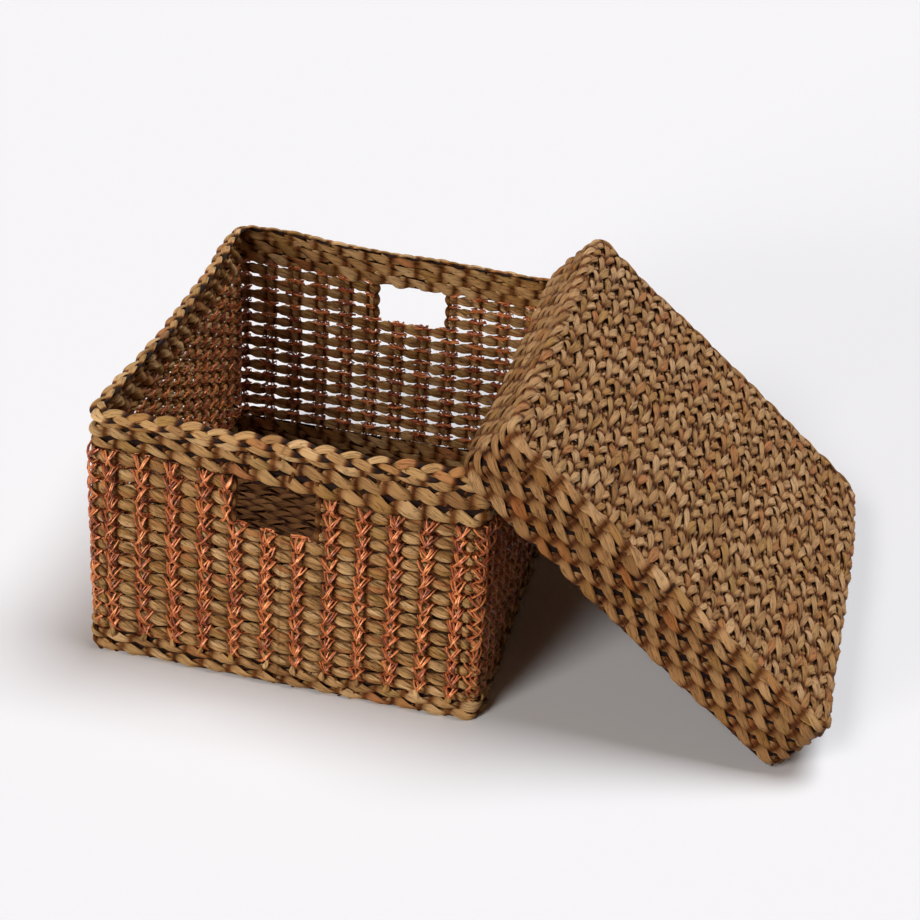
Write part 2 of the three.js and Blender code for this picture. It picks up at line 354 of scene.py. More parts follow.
class Loop:
    """A rounded rectangle, walked anticlockwise from the middle of its front, seen from above."""

    def __init__(self, half_x, half_y, radius):
        points = [np.array([[0.0, -half_y]])]
        outs = [np.array([[0.0, -1.0]])]
        quarter = np.linspace(0, math.pi / 2, CORNER_POINTS)
        for turn, (side_x, side_y) in enumerate(((1, -1), (1, 1), (-1, 1), (-1, -1))):
            angle = quarter + (turn - 1) * math.pi / 2
            out = np.stack([np.cos(angle), np.sin(angle)], axis=1)
            centre = np.array([(half_x - radius) * side_x, (half_y - radius) * side_y])
            points.append(centre + radius * out)
            outs.append(out)
        self.points = np.concatenate(points + points[:1])
        self.outs = np.concatenate(outs + outs[:1])
        steps = np.linalg.norm(np.diff(self.points, axis=0), axis=1)
        self.distance = np.concatenate([[0.0], np.cumsum(steps)])
        self.length = self.distance[-1]
        self.half_x = half_x
        self.half_y = half_y
        self.radius = radius

    def at(self, place, level):
        """Points and outward directions at distances along the loop, at a height."""
        place = np.mod(place, self.length)
        flat = [np.interp(place, self.distance, self.points[:, axis]) for axis in (0, 1)]
        out = [np.interp(place, self.distance, self.outs[:, axis]) for axis in (0, 1)]
        points = np.stack([flat[0], flat[1], np.broadcast_to(level, place.shape)], axis=1)
        outs = np.stack([out[0], out[1], np.zeros_like(place)], axis=1)
        return points, unit(outs)


class Track:
    """Where a row runs: its points, at each the directions out of the surface and across the row, and for a
    row on a loop the place of each along the loop."""

    def __init__(self, points, out, across, closed, place=None):
        self.points = points
        self.out = out
        self.across = across
        self.closed = closed
        self.place = place
        following = np.roll(points, -1, axis=0) if closed else points[1:]
        steps = np.linalg.norm(following - points[:len(following)], axis=1)
        self.along = np.concatenate([[0.0], np.cumsum(steps)])[:len(points)]
        self.length = float(steps.sum())


class Weave:
    """One piece in the making: the strands that it is woven from, each a tube along its own path."""

    def __init__(self, name):
        self.name = name
        self.vertices = []
        self.faces = []
        self.grain = []
        self.tint = []
        self.shown = []
        self.tape = []
        self.count = 0
        self.tape_length = 0.0
        self.tape_width = 0.0

    def strand(self, path, wide, thick, half_width, half_thickness, tint, facets, shown, closed):
        """Sweeps one strand. For each point of its path, wide and thick are its section's directions, facets
        push the corners of its section in and out, tint picks its colour, and shown tells how far out of the
        weave it lies, from -1 to 1."""
        rings, sides = facets.shape
        angle = np.arange(sides) * 2 * math.pi / sides
        cos, sin = np.cos(angle), np.sin(angle)
        sin = np.sign(sin) * np.abs(sin) ** SECTION_FULLNESS
        across = half_width[:, None] * cos * facets
        through = half_thickness[:, None] * sin * facets
        body = path[:, None, :] + wide[:, None, :] * across[:, :, None]
        body = body + thick[:, None, :] * through[:, :, None]
        steps = np.linalg.norm(np.diff(path, axis=0), axis=1)
        along = np.concatenate([[0.0], np.cumsum(steps)])
        start = CHANCE.uniform(0, GRAIN_SPREAD)
        lengthwise = np.broadcast_to(along[:, None] + start, (rings, sides))
        grain = np.stack([lengthwise, across + start, through], axis=2)
        self.vertices.append(body.reshape(-1, 3))
        self.grain.append(grain.reshape(-1, 3))
        self.tint.append(np.repeat(tint, sides))
        self.shown.append(np.repeat(shown, sides))
        self.add_sleeve(rings, sides, closed, along)
        if not closed:
            self.add_cap(0, sides, float(half_width[0]), True)
            self.add_cap((rings - 1) * sides, sides, float(half_width[-1]), False)
        self.count += rings * sides
        girth = 2 * math.pi * float(np.sqrt((half_width ** 2 + half_thickness ** 2) / 2).max())
        self.tape_width = max(self.tape_width, girth)

    def even_strand(self, path, wide, thick, half_width, half_thickness, tint, corners, shown=1.0,
                    closed=False):
        """Sweeps a strand whose corners are pushed in and out alike all along it. Widths, thicknesses, tints
        and shown are each one number, or one for each point of the path."""
        rings = len(path)
        half_width = np.broadcast_to(half_width, rings)
        half_thickness = np.broadcast_to(half_thickness, rings)
        tint = np.broadcast_to(tint, rings)
        shown = np.broadcast_to(shown, rings)
        facets = np.tile(corners, (rings, 1))
        self.strand(path, wide, thick, half_width, half_thickness, tint, facets, shown, closed)

    def add_sleeve(self, rings, sides, closed, along):
        """The faces round a strand, and their places on the tape that the bake lays out."""
        last = rings if closed else rings - 1
        ring = np.arange(last)[:, None]
        side = np.arange(sides)[None, :]
        after = (ring + 1) % rings
        beside = (side + 1) % sides
        quads = np.stack([ring * sides + side, ring * sides + beside,
                          after * sides + beside, after * sides + side], axis=2)
        self.faces.append(quads.reshape(-1, 4) + self.count)
        ends = np.append(along, along[-1] + (along[1] if closed else 0))[:last + 1]
        low = self.tape_length + np.broadcast_to(ends[:-1, None], (last, sides))
        high = self.tape_length + np.broadcast_to(ends[1:, None], (last, sides))
        left = np.broadcast_to(side / sides, (last, sides))
        right = left + 1 / sides
        tape = np.stack([np.stack([low, left], 2), np.stack([low, right], 2),
                         np.stack([high, right], 2), np.stack([high, left], 2)], axis=2)
        self.tape.append(tape.reshape(-1, 4, 2))
        self.tape_length += float(ends[-1])

    def add_cap(self, first, sides, radius, at_start):
        """Closes one end of a strand with a row of four-sided faces."""
        row = np.arange(sides // 2 - 1)
        quads = np.stack([row, row + 1, sides - 2 - row, sides - 1 - row], axis=1)
        if at_start:
            quads = quads[:, ::-1]
        angle = quads * 2 * math.pi / sides
        along = self.tape_length + radius * (1 + np.cos(angle))
        self.faces.append(quads + first + self.count)
        self.tape.append(np.stack([along, 0.5 + CAP_HALF_HEIGHT * np.sin(angle)], axis=2))
        self.tape_length += CAP_LENGTH * radius

    def build(self, material, body, slot, nodes):
        """Makes the piece, lets it ride on its body and stand for its nodes."""
        mesh = bpy.data.meshes.new(self.name)
        vertices = np.concatenate(self.vertices)
        if body == "box":
            vertices = settle(vertices)
        mesh.from_pydata(vertices, [], np.concatenate(self.faces))
        mesh.shade_smooth()
        mesh.set_sharp_from_angle(angle=SHARP_EDGE)
        for name, values in (("tint", self.tint), ("shown", self.shown)):
            values = np.concatenate(values).astype(np.float32)
            mesh.attributes.new(name, "FLOAT", "POINT").data.foreach_set("value", values)
        grain = np.concatenate(self.grain).astype(np.float32).ravel()
        mesh.attributes.new("grain", "FLOAT_VECTOR", "POINT").data.foreach_set("vector", grain)
        layout = mesh.uv_layers.new(name="OFBake")
        layout.data.foreach_set("uv", self.bake_layout().astype(np.float32).ravel())
        mesh.materials.append(material)
        piece = bpy.data.objects.new(self.name, mesh)
        bpy.context.scene.collection.objects.link(piece)
        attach(piece, body)
        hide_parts(*nodes)

    def bake_layout(self):
        """Folds the tape of all the strands into rows that fill the unit square without overlapping."""
        tape = np.concatenate(self.tape)
        rows = max(1, round(math.sqrt(self.tape_length / self.tape_width)))
        row_length = self.tape_length / rows
        low = tape[:, :, 0].min(axis=1)
        longest = float((tape[:, :, 0].max(axis=1) - low).max())
        row = np.minimum(np.floor(low / row_length), rows - 1)[:, None]
        across = (tape[:, :, 0] - row * row_length) / (row_length + longest)
        up = (row + ROW_GAP + (1 - 2 * ROW_GAP) * tape[:, :, 1]) / rows
        return np.stack([across, up], axis=2)


def unit(vectors):
    """The same directions, each of length one."""
    return vectors / np.linalg.norm(vectors, axis=1, keepdims=True)


def per_float(place, closed, low, high, shape=()):
    """A random value for each float of a strand, eased from one to the next where the strand dives."""
    whole = np.floor(place + CHANGE_OVER).astype(int)
    ease = np.clip((place + CHANGE_OVER - whole) / (2 * CHANGE_OVER), 0, 1)
    ease = ease * ease * (3 - 2 * ease)
    first = whole.min()
    count = whole.max() - first + 2
    if closed:
        count = round(float(2 * place[-1] - place[-2] - place[0]))
    values = CHANCE.uniform(low, high, (count,) + shape)
    ease = ease.reshape(ease.shape + (1,) * len(shape))
    return values[(whole - first) % count] * (1 - ease) + values[(whole - first + 1) % count] * ease


def wind(weave, track, lay, phase=0.0, hand=1, rounded=0.0, turns=None, leaves=(0.0,)):
    """Winds two plies round each other along a track. Each is of one leaf, or of leaves side by side, at
    these places across it. Hand, 1 or -1, is the way they are wound, and rounded is the length in which
    their ends taper off. Turns, where given, says how many floats lie before each point."""
    if turns is None:
        floats = track.length / lay.float_length
        if track.closed:
            floats = 2 * round(floats / 2)
        turns = track.along / track.length * floats + phase
    sides = ROW_SIDES if len(leaves) == 1 else LEAF_SIDES
    tip = UNEVEN_TIP if len(leaves) == 1 else UNEVEN_TIP_BESIDE
    for ply, leaf in [(ply, leaf) for ply in (0, 1) for leaf in leaves]:
        place = turns + ply
        cos, sin = np.cos(math.pi * place), np.sin(math.pi * place)
        drawn = [per_float(place, track.closed, -1, 1) for _ in range(5)]
        tint = per_float(place, track.closed, 0, 1)
        facets = per_float(place, track.closed, *UNEVEN_CORNERS, (sides,))
        beside = leaf * (LEAVES_TOGETHER + (1 - LEAVES_TOGETHER) * np.abs(sin))
        lift = lay.rise * hand * cos + UNEVEN_LIFT * drawn[0] + beside
        swell = lay.swell * (1 + UNEVEN_SWELL * drawn[1]) * sin
        path = track.points + track.across * lift[:, None] + track.out * swell[:, None]
        if lay.lean is None:
            over = np.arctan2(lay.rise * hand * cos, lay.swell * sin)
        else:
            over = lay.lean * cos * hand
        over = over + tip * drawn[2]
        thick = track.out * np.cos(over)[:, None] + track.across * np.sin(over)[:, None]
        wide = track.across * np.cos(over)[:, None] - track.out * np.sin(over)[:, None]
        crown = np.where(sin > 0, 1.0, lay.inner)
        share = lay.waist + (crown - lay.waist) * np.abs(sin) ** WIDENING
        half_width = lay.half_width * share * (1 + UNEVEN_WIDTH * drawn[3])
        half_thickness = lay.half_thickness * (1 + UNEVEN_THICKNESS * drawn[4])
        if rounded:
            end = np.minimum(track.along, track.length - track.along) / rounded
            taper = np.sqrt(np.clip(1 - (1 - np.clip(end, 0, 1)) ** 2, TAPER_LEAST, 1))
            half_width = half_width * taper
            half_thickness = half_thickness * taper
        # Painted shade where a ply dives under the other
        shown = 2 * np.abs(sin) ** SURFACING - 1
        weave.strand(path, wide, thick, half_width, half_thickness, tint, facets, shown, track.closed)


def course_shape(nodes, depth, radius):
    """The loop and the height of a course's middle, from the frame."""
    corners = [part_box(name) for name in nodes]
    low = Vector([min(corner[0][axis] for corner in corners) for axis in range(3)])
    high = Vector([max(corner[1][axis] for corner in corners) for axis in range(3)])
    half_x = (high.x - low.x) / 2 - depth / 2
    half_y = (high.y - low.y) / 2 - depth / 2
    return Loop(half_x, half_y, radius - depth / 2), (low.z + high.z) / 2


def loop_track(loop, level, start=0.0, end=None):
    """A row on a loop, all round or from start to end."""
    closed = end is None
    reach = loop.length if closed else end - start
    count = round(reach / STEP)
    place = start + np.linspace(0, reach, count, endpoint=not closed)
    points, out = loop.at(place, level)
    points = points + out * wander(points, ROW_DRIFT)[:, None]
    points[:, 2] += wander(points[:, [1, 0, 2]], ROW_DRIFT * DRIFT_UP)
    return Track(points, out, np.tile(UP, (count, 1)), closed, place)


def column_places(loop):
    """How far along the loop each copper column stands, wall by wall, and at the four corners."""
    reach_end = loop.half_x - CORNER_RADIUS - LASHING_HALF_WIDTH
    reach_side = loop.half_y - CORNER_RADIUS - LASHING_HALF_WIDTH
    quarter = loop.length / 4
    on_end = np.linspace(-reach_end, reach_end, END_COLUMNS)
    on_side = np.linspace(-reach_side, reach_side, SIDE_COLUMNS)
    places = {
        "front": on_end,
        "right": quarter + on_side,
        "back": 2 * quarter + BACK_COLUMN_SHIFT + on_end * BACK_COLUMN_SPREAD,
        "left": 3 * quarter + on_side,
    }
    corner = loop.half_x - loop.radius + loop.radius * math.pi / 4
    corners = {
        "front_right": corner,
        "back_right": 2 * quarter - corner,
        "back_left": 2 * quarter + corner,
        "front_left": 4 * quarter - corner,
    }
    return places, corners


def bay_turns(loop, place):
    """Turns of the wall's cord: a strand crosses over at each side of every column, so that one long bead
    shows between two columns."""
    places, corners = column_places(loop)
    stands = np.concatenate(list(places.values()) + [list(corners.values())])
    stands = np.sort(np.mod(stands, loop.length))
    knots = np.stack([stands - CROSSING_BESIDE, stands + CROSSING_BESIDE], axis=1).ravel()
    turns = np.arange(len(knots), dtype=float)
    knots = np.concatenate([knots - loop.length, knots, knots + loop.length])
    turns = np.concatenate([turns - len(turns), turns, turns + len(turns)])
    return np.interp(place, knots, turns)


def make_rows(weave, loop, low, high, lay, number, place):
    """One course, made on a loop and put in its place: two flat leaves wound along a thin core, with fine
    upright strands that show between them."""
    track = loop_track(loop, (low + high) / 2)
    turned = Track(place(track.points), place(track.out, True), place(track.across, True), True)
    wind(weave, turned, lay, phase=0.5 * number + CHANCE.uniform(-UNEVEN_PHASE, UNEVEN_PHASE))
    rings = slice(None, None, CORE_STRIDE)
    weave.even_strand(turned.points[rings], turned.across[rings], turned.out[rings],
                      (high - low) * CORE_SHARE, CORE_HALF_THICKNESS, CORE_TINT, np.ones(CORE_SIDES),
                      shown=CORE_SHOWN, closed=True)
    count = round(loop.length / lay.float_length)
    height = np.linspace(low, high, UPRIGHT_POINTS)
    for upright in range(count):
        spot = loop.length * (upright + CHANCE.uniform(-UPRIGHT_STRAY, UPRIGHT_STRAY)) / count
        slant = np.linspace(-1, 1, UPRIGHT_POINTS) * CHANCE.uniform(-UPRIGHT_SLANT, UPRIGHT_SLANT) * MM
        points, out = loop.at(spot + slant, height)
        points = points + out * UPRIGHT_REACH
        across = np.cross(UP, out)
        half = CHANCE.uniform(*UPRIGHT_HALF_WIDTHS) * MM
        weave.even_strand(place(points), place(across, True), place(out, True), half,
                          half * FINE_CORD_FLATNESS, CHANCE.uniform(0, 1), np.ones(CORE_SIDES),
                          shown=UPRIGHT_SHOWN)


def add_stitches(weave, loop, level, places):
    """Short upright stitches of rush over the slit between two courses."""
    climb = np.linspace(-0.5, 0.5, STITCH_POINTS)
    for spot in places:
        slant = climb * CHANCE.uniform(-STITCH_SLANT, STITCH_SLANT) * MM
        points, out = loop.at(spot + slant, level + climb * STITCH_HEIGHT)
        bulge = STITCH_BULGE * np.cos(climb * math.pi * STITCH_BEND) + STITCH_REACH
        points = points + out * bulge[:, None]
        half_width = (STITCH_HALF_WIDTH + CHANCE.uniform(0, STITCH_MORE_WIDTH)) * MM
        half_width = half_width * np.cos(climb * math.pi * STITCH_NARROWING)
        corners = CHANCE.uniform(*STITCH_CORNERS, ROW_SIDES)
        weave.even_strand(points, np.cross(UP, out), out, half_width, STITCH_HALF_THICKNESS,
                          CHANCE.uniform(0, 1), corners)


def on_box(points, direction=False):
    """Takes what on_lid takes, and gives it back: the box is made where it stands."""
    return points


def make_band(nodes, stitched):
    """The plain courses of the foot or the rim; stitches bind one of them to the course above it."""
    for number, name in enumerate(nodes):
        loop, _ = course_shape([name], BAND_DEPTH, CORNER_RADIUS)
        low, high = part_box(name)
        weave = Weave(name + "_rows")
        make_rows(weave, loop, low.z, high.z, BAND_LAY, number, on_box)
        if name == stitched:
            count = round(loop.length / STITCH_PITCH)
            spots = np.arange(count) + 0.5 + CHANCE.uniform(-STITCH_STRAY, STITCH_STRAY, count)
            add_stitches(weave, loop, high.z, spots * loop.length / count)
        weave.build(rush, "box", "straw_cord", [name])


def add_run_end(weave, loop, level, spot, toward):
    """The leaf that turns back round the end of a run of cord, beside a hand hole."""
    climb = np.linspace(-1, 1, RUN_END_POINTS)
    bulge = RUN_END_BULGE * np.cos(climb * math.pi / RUN_END_BEND) - RUN_END_INSET
    points, out = loop.at(spot + toward * bulge, level + climb * RUN_END_HALF_HEIGHT)
    more_width = RUN_END_MORE_WIDTH * np.cos(climb * math.pi / RUN_END_NARROWING)
    half_width = (RUN_END_TIP_WIDTH + more_width) * MM
    corners = CHANCE.uniform(*RUN_END_CORNERS, ROW_SIDES)
    tint = CHANCE.uniform(0, RUN_END_PALEST)
    # Painted shade towards the tips, where the leaf tucks in
    shown = np.cos(climb * RUN_END_DARKENING) * RUN_END_SHOWN - RUN_END_TUCK
    weave.even_strand(points, np.cross(UP, out), out, half_width, RUN_END_HALF_THICKNESS, tint, corners,
                      shown=shown)


def make_wall():
    """The lashed courses, whole below the hand holes and in two runs beside them."""
    for name in WALL_NODES:
        loop, level = course_shape([name], WALL_DEPTH, CORNER_RADIUS)
        weave = Weave(name + "_cord")
        track = loop_track(loop, level)
        wind(weave, track, WALL_LAY, turns=bay_turns(loop, track.place), leaves=WALL_LEAVES)
        weave.build(rush, "box", "straw_cord", [name])
    for name in SPLIT_NODES:
        halves = [name + "_left", name + "_right"]
        loop, level = course_shape(halves, WALL_DEPTH, CORNER_RADIUS)
        hole = -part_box(halves[0])[1].x
        runs = {"right": (HOLE_SHIFT + hole, loop.length / 2 + HOLE_SHIFT - hole),
                "left": (loop.length / 2 + HOLE_SHIFT + hole, loop.length + HOLE_SHIFT - hole)}
        for side, (start, end) in runs.items():
            weave = Weave(f"{name}_{side}_cord")
            track = loop_track(loop, level, start, end)
            turns = bay_turns(loop, track.place)
            wind(weave, track, WALL_LAY, turns=turns, leaves=WALL_LEAVES, rounded=RUN_TAPER)
            add_run_end(weave, loop, level, start, -1)
            add_run_end(weave, loop, level, end, 1)
            weave.build(rush, "box", "straw_cord", [f"{name}_{side}"])


def make_plait():
    """The three-strand plait of flat leaves that finishes the rim, tipped outwards over the top course."""
    loop, _ = course_shape(["rim_plait"], PLAIT_DEPTH, PLAIT_CORNER_RADIUS)
    low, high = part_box("rim_plait")
    weave = Weave("rim_plait_strands")
    make_rows(weave, loop, low.z + EDGE_COURSE_LOW, low.z + EDGE_COURSE_HIGH, EDGE_LAY, 1, on_box)
    track = loop_track(loop, high.z - PLAIT_UNDER_TOP)
    flat = unit(track.across * math.cos(PLAIT_TIP) - track.out * math.sin(PLAIT_TIP))
    face = unit(track.out * math.cos(PLAIT_TIP) + track.across * math.sin(PLAIT_TIP))
    periods = round(track.length / PLAIT_PERIOD)
    for strand in range(3):
        turns = track.along / track.length * periods + strand / 3
        angle = 2 * math.pi * turns
        over = np.sin(2 * angle)
        drawn = [per_float(turns * 2, True, -1, 1) for _ in range(4)]
        side = PLAIT_SWING * np.sin(angle) + UNEVEN_PLAIT_SWING * drawn[0]
        swell = (PLAIT_SWELL + UNEVEN_PLAIT_SWELL * drawn[3]) * MM * over
        path = track.points + flat * side[:, None] + face * swell[:, None]
        ahead = np.roll(path, -1, axis=0) - np.roll(path, 1, axis=0)
        wide = unit(np.cross(ahead, face))
        thick = unit(np.cross(wide, ahead))
        share = (1 + PLAIT_WAIST) / 2 + (1 - PLAIT_WAIST) / 2 * over
        half_width = PLAIT_HALF_WIDTH * share * (1 + UNEVEN_PLAIT_SIZE * drawn[1])
        half_thickness = PLAIT_HALF_THICKNESS * (1 + UNEVEN_PLAIT_SIZE * drawn[2])
        facets = per_float(turns * 2, True, *PLAIT_CORNERS, (ROW_SIDES,))
        tint = per_float(turns * 2, True, 0, 1)
        # Painted shade where a strand passes under the others
        shown = np.clip(2 * over, -1, 1)
        weave.strand(path, wide, thick, half_width, half_thickness, tint, facets, shown, True)
    weave.build(rush, "box", "straw_cord", ["rim_plait"])


def make_base():
    """The woven floor of the box: rows along its narrow way, wound one way and the other by turns, over
    cords that cross them. It runs on under the foot."""
    low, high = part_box("base_mat")
    low, high = low - UNDER_FOOT, high + UNDER_FOOT
    rows = round((high.y - low.y) / BASE_PITCH)
    pitch = (high.y - low.y) / rows
    weave = Weave("base_mat_rows")
    level = (low.z + high.z) / 2
    count = round((high.x - low.x) / BASE_STEP)
    out = np.tile(UP, (count, 1))
    across = np.tile([0.0, 1.0, 0.0], (count, 1))
    for row in range(rows):
        middle = low.y + pitch * (row + 0.5)
        x = np.linspace(low.x, high.x, count)
        points = np.stack([x, np.full(count, middle), np.full(count, level)], axis=1)
        points[:, 1] += wander(points, BASE_DRIFT)
        phase = 0.5 * row + CHANCE.uniform(-UNEVEN_PHASE, UNEVEN_PHASE)
        wind(weave, Track(points, out, across, False), BASE_LAY, phase=phase, hand=(-1, 1)[row % 2])
    ends = np.linspace(low.y, high.y, BASE_CORD_POINTS)
    flat = np.tile([1.0, 0.0, 0.0], (BASE_CORD_POINTS, 1))
    upward = np.tile(UP, (BASE_CORD_POINTS, 1))
    for crossing in range(1, round(2 * (high.x - low.x) / BASE_LAY.float_length)):
        for beside in BASE_CORD_PLACES:
            spot = low.x + BASE_LAY.float_length * crossing / 2 + beside
            points = np.stack([np.full(BASE_CORD_POINTS, spot), ends,
                               np.full(BASE_CORD_POINTS, level - BASE_CORD_SINK)], axis=1)
            weave.even_strand(points, flat, upward, BASE_CORD_HALF_WIDTH,
                              BASE_CORD_HALF_WIDTH * FINE_CORD_FLATNESS, BASE_CORD_TINT,
                              np.ones(CROSS_CORD_SIDES), shown=CROSS_CORD_SHOWN)
    weave.build(base_rush_with_painted_shade, "box", "straw_cord", ["base_mat"])


def thread_path(place, levels, sign, track_of, face_reach):
    """The way of one thread up a column: over the face of each course from one edge of the column to the
    other, through the slit above it, and along that slit on the inner side."""
    side, height, depth = [], [], []
    for below, above in zip(levels[:-1], levels[1:]):
        reaches = CHANCE.uniform(*TURN_SIDEWAYS, 3) * LASHING_HALF_WIDTH
        start, end, after = reaches * np.array([sign, -sign, sign])
        if side:
            start = side[-1] * TURN_KEPT
        middle = (start + end) / 2 + CHANCE.normal(0, TURN_BEND) * MM
        reach = face_reach + CHANCE.uniform(*TURN_PROUD) * MM
        stray = CHANCE.uniform(-1, 1, len(TURN_STRAY)) * TURN_STRAY * MM
        side += [start, (start + middle) / 2, middle, (middle + end) / 2, end,
                 end * RUN_WIDE, after * RUN_NARROW, after * RUN_WIDE]
        height += list(TURN_RISE * (above - below) + below + stray)
        depth += [SLIT_REACH, reach * OUTER_SHOULDER, reach, reach * OUTER_SHOULDER, SLIT_REACH,
                  INNER_REACH * INNER_SHOULDER, INNER_REACH, INNER_REACH * INNER_SHOULDER]
    points, out = track_of(place + np.array(side), np.array(height))
    return points + out * np.array(depth)[:, None], out


def make_lashing(name, columns, track_of, face_reach):
    """The copper thread of some columns, each of several threads that climb the wall and cross."""
    weave = Weave(name + "_thread")
    for place, levels in columns:
        for thread in range(THREADS):
            path, out = thread_path(place, levels, 1 if thread % 2 else -1, track_of, face_reach)
            ahead = unit(np.gradient(path, axis=0))
            wide = unit(np.cross(ahead, out + OFF_LINE))
            radius = THREAD_RADIUS * CHANCE.uniform(*THREAD_SIZES)
            tints = CHANCE.uniform(0, 1, len(path) // POINTS_OF_ONE_TINT + 1)
            tint = np.repeat(tints, POINTS_OF_ONE_TINT)[:len(path)]
            weave.even_strand(path, wide, np.cross(wide, ahead), radius, radius, tint, np.ones(THREAD_SIDES))
    weave.build(copper_thread, "box", "copper_thread", [name])


def make_lashings():
    """All the copper columns, on the four walls and at the four corners."""
    shapes = [course_shape([name], WALL_DEPTH, CORNER_RADIUS) for name in WALL_NODES]
    for name in SPLIT_NODES:
        shapes.append(course_shape([name + "_left", name + "_right"], WALL_DEPTH, CORNER_RADIUS))
    levels = np.array([level for _, level in shapes])
    half = (levels[1] - levels[0]) / 2
    slits = np.concatenate([levels - half, [levels[-1] + half]])
    loop = shapes[len(shapes) // 2][0]
    sill = slits[len(WALL_NODES)]
    under_sill = np.append(slits[:len(WALL_NODES)], sill - SILL_DROP)
    beside_hole = slits[len(WALL_NODES):]
    hole = -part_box(SPLIT_NODES[0] + "_left")[1].x
    middles = {"front": HOLE_SHIFT, "back": loop.length / 2 + HOLE_SHIFT}

    def place_on_wall(place, height):
        """Points and outward directions on the wall, moved aside where a hand hole is."""
        for middle in middles.values():
            off = place - middle
            clear = hole + HOLE_CLEARANCE
            in_hole = (np.abs(off) < clear) & (height > sill + ABOVE_SILL)
            place = np.where(in_hole, middle + np.sign(off) * clear, place)
        points, out = loop.at(place, height)
        return points + out * wander(points, ROW_DRIFT)[:, None], out

    places, corners = column_places(loop)
    for wall, stands in places.items():
        columns = []
        for place in stands:
            under_hole = wall in middles and abs(place - middles[wall]) < hole
            columns.append((place, under_sill if under_hole else slits))
        if wall == "front":
            columns.append((middles[wall] - hole - HOLE_COLUMN_GAP, beside_hole))
        make_lashing(f"lashing_{wall}", columns, place_on_wall, FRONT_REACH)
    for spot, place in corners.items():
        make_lashing(f"corner_lashing_{spot}", [(place, slits)], place_on_wall, CORNER_REACH)


def lid_frame():
    """The lid's own axes as it leans: across its narrow way, along its long way, and out of its top."""
    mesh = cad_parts["lid_top_mat"].data
    face = max(mesh.polygons, key=lambda polygon: polygon.area)
    normal = Vector(face.normal)
    if normal.z < 0:
        normal = -normal
    across = Vector((normal.z, 0.0, -normal.x)).normalized()
    return np.array(across), np.array([0.0, 1.0, 0.0]), np.array(normal)


LID_AXES = lid_frame()


def lid_extent(name):
    """Lowest and highest corners of a lid node along the lid's own axes."""
    co = np.array([vertex.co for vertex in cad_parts[name].data.vertices])
    local = co @ np.stack(LID_AXES, axis=1)
    return local.min(axis=0), local.max(axis=0)


LID_TOP_LOW, LID_TOP_HIGH = lid_extent("lid_top_mat")
LID_MIDDLE = np.append((LID_TOP_LOW + LID_TOP_HIGH)[:2] / 2, 0.0)


def on_lid(local, direction=False):
    """Turns points or directions from the lid's own axes to the scene's; its far end has sunk a little."""
    if not direction:
        sunk = LID_SINK * np.clip((local[:, 1] - LID_SINK_FROM) / LID_SINK_OVER, 0, 1) ** 2
        local = local + LID_MIDDLE
        local[:, 2] -= sunk
    return local @ np.stack(LID_AXES, axis=0)


def make_skirt():
    """The lid's edge, course by course."""
    for number, name in enumerate(LID_NODES):
        low, high = lid_extent(name)
        half = (high - low) / 2
        loop = Loop(half[0] - LID_DEPTH / 2, half[1] - LID_DEPTH / 2, LID_CORNER_RADIUS - LID_DEPTH / 2)
        weave = Weave(name + "_rows")
        make_rows(weave, loop, low[2], high[2], SKIRT_LAY, number, on_lid)
        weave.build(skirt_rush_with_painted_shade, "lid", "lid_cord", [name])


def corner_cut(offset, half):
    """How much shorter the lid is at a distance from its middle line, where its corners are rounded."""
    inset = min(LID_CORNER_RADIUS, max(0.0, abs(offset) - (half - LID_CORNER_RADIUS)))
    return LID_CORNER_RADIUS - math.sqrt(LID_CORNER_RADIUS ** 2 - inset ** 2)


def lid_top_track(side, along, half, sink=0.0):
    """A row or cross cord of the lid's top, which rounds over a little towards the edge."""
    near_edge = np.minimum(half[0] - np.abs(side), half[1] - np.abs(along))
    drop = ROUND_OVER_DROP * np.clip(1 - near_edge / ROUND_OVER_WIDTH, 0, 1) ** 2
    local = np.stack([side, along, LID_TOP_HIGH[2] - LID_ROWS_UNDER_TOP - drop - sink], axis=1)
    local[:, 2] += wander(local, TOP_DRIFT_UP)
    out = np.tile(UP, (len(local), 1))
    across = unit(np.cross(unit(np.gradient(local, axis=0)), out))
    return Track(on_lid(local), on_lid(out, True), on_lid(across, True), False)


def add_top_rows(halves, half, inner):
    """The rows along the lid's long way, wound one way and the other by turns, in a left and a right half."""
    rows = 2 * round(inner[0] / LID_TOP_PITCH)
    pitch = 2 * inner[0] / rows
    for row in range(rows):
        side = -inner[0] + pitch * (row + 0.5)
        reach = inner[1] - corner_cut(side, inner[0])
        count = round(2 * reach / STEP)
        along = np.linspace(-reach, reach, count)
        drift = wander(np.stack([np.full(count, side), along, along * 0], axis=1), TOP_DRIFT)
        track = lid_top_track(side + drift, along, half)
        stray = TOP_STRAY * np.sin(along * CHANCE.uniform(*TOP_STRAY_WAVES) + CHANCE.uniform(0, 6))
        turns = 0.5 * row + along / TOP_LAY.float_length + stray
        wind(halves[row * 2 // rows], track, TOP_LAY, hand=(-1, 1)[row % 2], rounded=TOP_TAPER, turns=turns)


def add_cross_cords(weave, half, inner):
    """Fine cords under the rows of the lid's top, five side by side wherever one row or the next dives."""
    cords = int(2 * inner[1] / TOP_LAY.float_length)
    for cord in range(-cords, cords + 1):
        for strand in (-2, -1, 0, 1, 2):
            spot = cord * TOP_LAY.float_length / 2 + strand * LID_CORD_PITCH
            if abs(spot) > inner[1]:
                continue
            reach = inner[0] - corner_cut(spot, inner[1])
            count = round(2 * reach / LID_CORD_STEP)
            side = np.linspace(-reach, reach, count)
            track = lid_top_track(side, np.full(count, spot), half, LID_CORD_SINK)
            weave.even_strand(track.points, track.across, track.out, LID_CORD_HALF_WIDTH,
                              LID_CORD_HALF_THICKNESS, CHANCE.uniform(0, 1), np.ones(CROSS_CORD_SIDES),
                              shown=CROSS_CORD_SHOWN)


